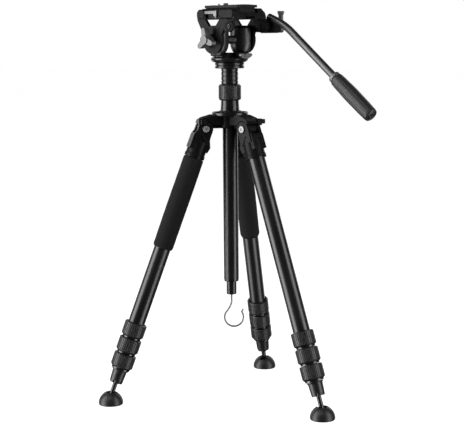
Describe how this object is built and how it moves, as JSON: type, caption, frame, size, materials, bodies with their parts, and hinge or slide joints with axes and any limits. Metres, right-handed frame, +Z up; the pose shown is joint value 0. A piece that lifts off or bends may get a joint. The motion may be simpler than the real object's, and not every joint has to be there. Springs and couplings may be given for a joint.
{
  "type": "tripod with fluid head",
  "caption": "Folding camera tripod with telescoping twist-lock legs, a rising column with a ballast hook, and a pan and tilt fluid head with a bent pan bar.",
  "frame": {"origin": "on the floor, under the centre of the bounding box; the column's axis stands at X = -0.0834 m, Y = 0", "axes": "+Z up along the column; +X towards the operator, the pan bar and the bare leg; the lens of a camera looks along -X; +Y is the side that the pan bar is on, and the tilt axis is parallel to Y"},
  "size_m": [0.4486, 0.4546, 0.7474],
  "materials": {
    "cast_black": "fine textured satin black paint on castings",
    "tube_black": "satin black anodised tube",
    "lock_black": "moulded black, ribbed for grip",
    "steel": "bright turned steel",
    "bolt_chrome": "bright plated",
    "silver": "satin silver",
    "plate_black": "black anodised with a ribbed top pad",
    "grip_rubber": "dark matt rubber",
    "rod_dark": "dark polished rod",
    "foot_rubber": "matt black rubber",
    "foam": "closed-cell foam"
  },
  "bodies": {
    "spider": {"spider_hub": "cast_black", "hinge_bolts": "bolt_chrome"},
    "column_lock": {"column_lock": "lock_black"},
    "column": {"column_tube": "tube_black", "column_top": "cast_black", "hook_holder": "cast_black", "head_base": "cast_black"},
    "hook": {"weight_hook": "steel"},
    "pan": {"fork_body": "cast_black"},
    "pan_lock": {"pan_lock_screw": "silver"},
    "tilt": {"tilt_platform": "cast_black", "tilt_shaft": "steel"},
    "tilt_knob": {"tilt_knob": "silver"},
    "plate": {"release_plate": "plate_black", "video_pin": "steel"},
    "screw": {"camera_screw": "steel"},
    "plate_lever": {"plate_lever": "silver"},
    "bar": {"bar_clamp": "cast_black", "pan_bar": "tube_black", "bar_collar": "silver", "bar_grip": "grip_rubber"},
    "thumb_lever": {"thumb_lever": "silver"},
    "right_leg": {"right_leg_casting": "cast_black", "right_tube_1": "tube_black"},
    "right_button": {"right_angle_button": "lock_black"},
    "right_lock_1": {"right_twist_lock_1": "lock_black"},
    "right_section_2": {"right_tube_2": "tube_black"},
    "right_lock_2": {"right_twist_lock_2": "lock_black"},
    "right_section_3": {"right_tube_3": "tube_black"},
    "right_lock_3": {"right_twist_lock_3": "lock_black"},
    "right_section_4": {"right_tube_4": "tube_black", "right_end_cap": "lock_black", "right_foot_rod": "rod_dark"},
    "right_foot": {"right_foot": "foot_rubber"},
    "rear_leg": {"rear_leg_casting": "cast_black", "rear_tube_1": "tube_black", "rear_hand_pad": "foam"},
    "rear_button": {"rear_angle_button": "lock_black"},
    "rear_lock_1": {"rear_twist_lock_1": "lock_black"},
    "rear_section_2": {"rear_tube_2": "tube_black"},
    "rear_lock_2": {"rear_twist_lock_2": "lock_black"},
    "rear_section_3": {"rear_tube_3": "tube_black"},
    "rear_lock_3": {"rear_twist_lock_3": "lock_black"},
    "rear_section_4": {"rear_tube_4": "tube_black", "rear_end_cap": "lock_black", "rear_foot_rod": "rod_dark"},
    "rear_foot": {"rear_foot": "foot_rubber"},
    "left_leg": {"left_leg_casting": "cast_black", "left_tube_1": "tube_black", "left_hand_pad": "foam"},
    "left_button": {"left_angle_button": "lock_black"},
    "left_lock_1": {"left_twist_lock_1": "lock_black"},
    "left_section_2": {"left_tube_2": "tube_black"},
    "left_lock_2": {"left_twist_lock_2": "lock_black"},
    "left_section_3": {"left_tube_3": "tube_black"},
    "left_lock_3": {"left_twist_lock_3": "lock_black"},
    "left_section_4": {"left_tube_4": "tube_black", "left_end_cap": "lock_black", "left_foot_rod": "rod_dark"},
    "left_foot": {"left_foot": "foot_rubber"}
  },
  "joints": [
    {"name": "column_lift", "type": "slide", "parent": "spider", "child": "column", "axis": [0, 0, 1], "range_m": [0, 0.25]},
    {"name": "column_lock_twist", "type": "hinge", "parent": "spider", "child": "column_lock", "pos_m": [-0.0834, 0, 0.5825], "axis": [0, 0, 1], "range_deg": [0, 120]},
    {"name": "hook_swivel", "type": "hinge", "parent": "column", "child": "hook", "pos_m": [-0.0834, 0, 0.199], "axis": [0, 0, 1], "continuous": true},
    {"name": "pan", "type": "hinge", "parent": "column", "child": "pan", "pos_m": [-0.0834, 0, 0.6434], "axis": [0, 0, 1], "continuous": true},
    {"name": "pan_lock_twist", "type": "hinge", "parent": "pan", "child": "pan_lock", "pos_m": [-0.0394, 0, 0.6495], "axis": [1, 0, 0], "range_deg": [0, 180]},
    {"name": "tilt", "type": "hinge", "parent": "pan", "child": "tilt", "pos_m": [-0.0834, 0, 0.68], "axis": [0, 1, 0], "range_deg": [-80, 60]},
    {"name": "tilt_knob_twist", "type": "hinge", "parent": "tilt", "child": "tilt_knob", "pos_m": [-0.0834, -0.05675, 0.68], "axis": [0, 1, 0], "range_deg": [0, 180]},
    {"name": "plate_slide", "type": "slide", "parent": "tilt", "child": "plate", "axis": [1, 0, 0], "range_m": [0, 0.07]},
    {"name": "camera_screw_turn", "type": "hinge", "parent": "plate", "child": "screw", "pos_m": [-0.0924, 0, 0.7432], "axis": [0, 0, 1], "continuous": true},
    {"name": "plate_lever_swing", "type": "hinge", "parent": "tilt", "child": "plate_lever", "pos_m": [-0.0749, -0.0402, 0.726], "axis": [0, 0, 1], "range_deg": [0, 75]},
    {"name": "bar_angle", "type": "hinge", "parent": "tilt", "child": "bar", "pos_m": [-0.0354, 0.0483, 0.704], "axis": [0, 1, 0], "range_deg": [-70, 45]},
    {"name": "thumb_lever_turn", "type": "hinge", "parent": "bar", "child": "thumb_lever", "pos_m": [-0.0174, 0.066, 0.698], "axis": [0, 1, 0], "range_deg": [-90, 90]},
    {"name": "right_leg_spread", "type": "hinge", "parent": "spider", "child": "right_leg", "pos_m": [-0.0332, 0, 0.5156], "axis": [0, -1, 0], "range_deg": [-20, 27]},
    {"name": "right_button_press", "type": "slide", "parent": "spider", "child": "right_button", "axis": [0, -1, 0], "range_m": [0, 0.002], "stiffness_N_per_m": 400},
    {"name": "right_lock_1_twist", "type": "hinge", "parent": "right_leg", "child": "right_lock_1", "pos_m": [0.10632, 0, 0.13944], "axis": [0.3478, 0, -0.9376], "range_deg": [0, 120]},
    {"name": "right_section_2_slide", "type": "slide", "parent": "right_leg", "child": "right_section_2", "axis": [0.3478, 0, -0.9376], "range_m": [0, 0.31]},
    {"name": "right_lock_2_twist", "type": "hinge", "parent": "right_section_2", "child": "right_lock_2", "pos_m": [0.1171, 0, 0.11038], "axis": [0.3478, 0, -0.9376], "range_deg": [0, 120]},
    {"name": "right_section_3_slide", "type": "slide", "parent": "right_section_2", "child": "right_section_3", "axis": [0.3478, 0, -0.9376], "range_m": [0, 0.31]},
    {"name": "right_lock_3_twist", "type": "hinge", "parent": "right_section_3", "child": "right_lock_3", "pos_m": [0.12788, 0, 0.08131], "axis": [0.3478, 0, -0.9376], "range_deg": [0, 120]},
    {"name": "right_section_4_slide", "type": "slide", "parent": "right_section_3", "child": "right_section_4", "axis": [0.3478, 0, -0.9376], "range_m": [0, 0.31]},
    {"name": "right_foot_swivel", "type": "hinge", "parent": "right_section_4", "child": "right_foot", "pos_m": [0.15247, 0, 0.015], "axis": [0, -1, 0], "range_deg": [-20, 20]},
    {"name": "rear_leg_spread", "type": "hinge", "parent": "spider", "child": "rear_leg", "pos_m": [-0.1085, 0.04347, 0.5156], "axis": [0.866, 0.5, 0], "range_deg": [-20, 27]},
    {"name": "rear_button_press", "type": "slide", "parent": "spider", "child": "rear_button", "axis": [0.866, 0.5, 0], "range_m": [0, 0.002], "stiffness_N_per_m": 400},
    {"name": "rear_lock_1_twist", "type": "hinge", "parent": "rear_leg", "child": "rear_lock_1", "pos_m": [-0.17826, 0.1643, 0.13944], "axis": [-0.1739, 0.3012, -0.9376], "range_deg": [0, 120]},
    {"name": "rear_section_2_slide", "type": "slide", "parent": "rear_leg", "child": "rear_section_2", "axis": [-0.1739, 0.3012, -0.9376], "range_m": [0, 0.31]},
    {"name": "rear_lock_2_twist", "type": "hinge", "parent": "rear_section_2", "child": "rear_lock_2", "pos_m": [-0.18365, 0.17364, 0.11038], "axis": [-0.1739, 0.3012, -0.9376], "range_deg": [0, 120]},
    {"name": "rear_section_3_slide", "type": "slide", "parent": "rear_section_2", "child": "rear_section_3", "axis": [-0.1739, 0.3012, -0.9376], "range_m": [0, 0.31]},
    {"name": "rear_lock_3_twist", "type": "hinge", "parent": "rear_section_3", "child": "rear_lock_3", "pos_m": [-0.18904, 0.18297, 0.08131], "axis": [-0.1739, 0.3012, -0.9376], "range_deg": [0, 120]},
    {"name": "rear_section_4_slide", "type": "slide", "parent": "rear_section_3", "child": "rear_section_4", "axis": [-0.1739, 0.3012, -0.9376], "range_m": [0, 0.31]},
    {"name": "rear_foot_swivel", "type": "hinge", "parent": "rear_section_4", "child": "rear_foot", "pos_m": [-0.20134, 0.20427, 0.015], "axis": [0.866, 0.5, 0], "range_deg": [-20, 20]},
    {"name": "left_leg_spread", "type": "hinge", "parent": "spider", "child": "left_leg", "pos_m": [-0.1085, -0.04347, 0.5156], "axis": [-0.866, 0.5, 0], "range_deg": [-20, 27]},
    {"name": "left_button_press", "type": "slide", "parent": "spider", "child": "left_button", "axis": [-0.866, 0.5, 0], "range_m": [0, 0.002], "stiffness_N_per_m": 400},
    {"name": "left_lock_1_twist", "type": "hinge", "parent": "left_leg", "child": "left_lock_1", "pos_m": [-0.17826, -0.1643, 0.13944], "axis": [-0.1739, -0.3012, -0.9376], "range_deg": [0, 120]},
    {"name": "left_section_2_slide", "type": "slide", "parent": "left_leg", "child": "left_section_2", "axis": [-0.1739, -0.3012, -0.9376], "range_m": [0, 0.31]},
    {"name": "left_lock_2_twist", "type": "hinge", "parent": "left_section_2", "child": "left_lock_2", "pos_m": [-0.18365, -0.17364, 0.11038], "axis": [-0.1739, -0.3012, -0.9376], "range_deg": [0, 120]},
    {"name": "left_section_3_slide", "type": "slide", "parent": "left_section_2", "child": "left_section_3", "axis": [-0.1739, -0.3012, -0.9376], "range_m": [0, 0.31]},
    {"name": "left_lock_3_twist", "type": "hinge", "parent": "left_section_3", "child": "left_lock_3", "pos_m": [-0.18904, -0.18297, 0.08131], "axis": [-0.1739, -0.3012, -0.9376], "range_deg": [0, 120]},
    {"name": "left_section_4_slide", "type": "slide", "parent": "left_section_3", "child": "left_section_4", "axis": [-0.1739, -0.3012, -0.9376], "range_m": [0, 0.31]},
    {"name": "left_foot_swivel", "type": "hinge", "parent": "left_section_4", "child": "left_foot", "pos_m": [-0.20134, -0.20427, 0.015], "axis": [-0.866, 0.5, 0], "range_deg": [-20, 20]}
  ]
}
